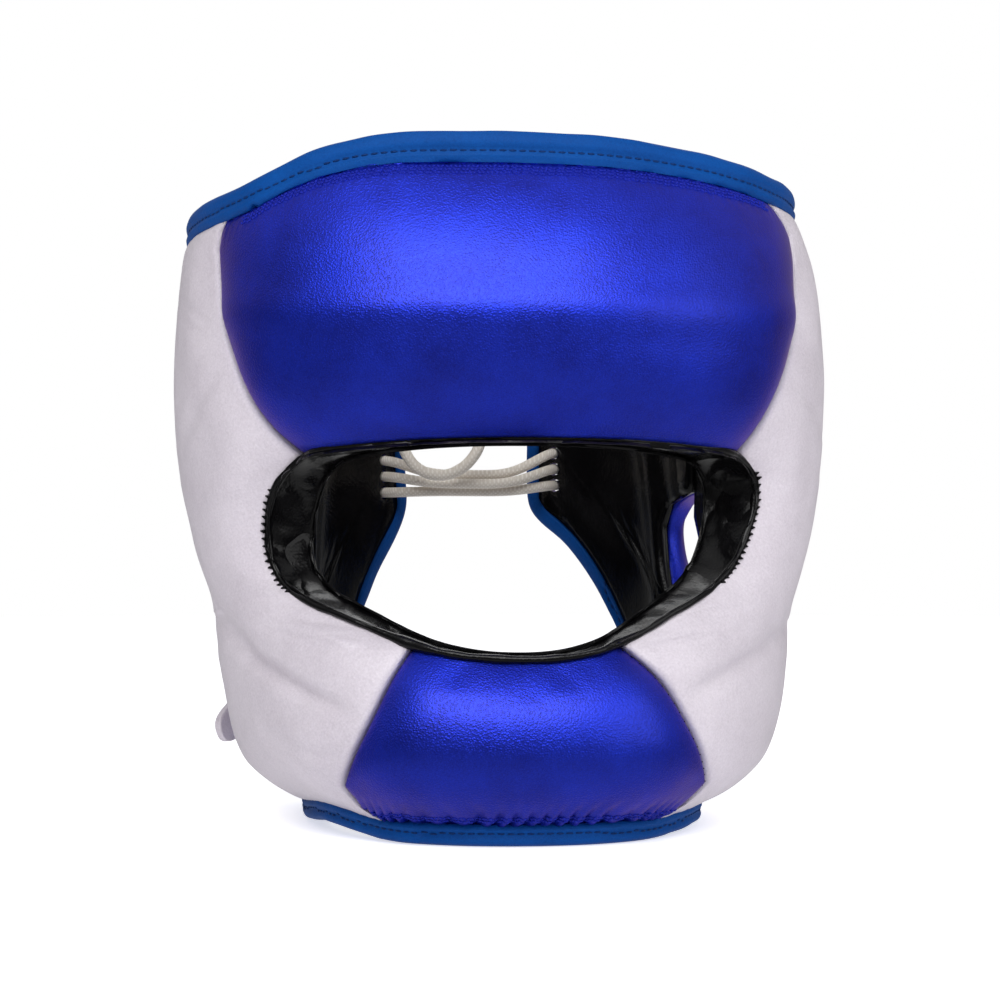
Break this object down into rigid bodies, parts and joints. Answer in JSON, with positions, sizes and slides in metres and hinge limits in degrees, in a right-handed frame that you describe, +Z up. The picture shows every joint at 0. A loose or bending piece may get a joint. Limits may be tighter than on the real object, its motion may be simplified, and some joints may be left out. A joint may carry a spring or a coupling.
{
  "type": "boxing head guard",
  "caption": "Padded boxing head guard with a bar across the lower face, open crown, ear holes and a laced gap at the back. It stands on its lower rim.",
  "frame": {"origin": "on the surface it rests on, under the middle of its bounding box", "axes": "+Z up, the face looks along -Y, +X is to the right of someone who faces it"},
  "size_m": [0.2372, 0.2554, 0.243],
  "materials": {
    "metallic_blue_leather": "metallic, fine grain",
    "white_leather": "pearl satin",
    "black_leather": "gloss",
    "blue_binding_leather": "satin",
    "white_lace": "matte woven"
  },
  "bodies": {
    "root": {"forehead_pad": "metallic_blue_leather", "face_bar_pad": "metallic_blue_leather", "rear_flap_left": "metallic_blue_leather", "rear_flap_right": "metallic_blue_leather", "cheek_pad_left": "white_leather", "cheek_pad_right": "white_leather", "strap_tab": "white_leather", "brow_lining": "black_leather", "bar_lining": "black_leather", "cheek_lining_left": "black_leather", "cheek_lining_right": "black_leather", "flap_lining_left": "black_leather", "flap_lining_right": "black_leather", "face_opening_wall": "black_leather", "top_binding": "blue_binding_leather", "lower_binding": "blue_binding_leather", "lace_lower": "white_lace", "lace_loop": "white_lace", "lace_upper": "white_lace"}
  },
  "joints": []
}
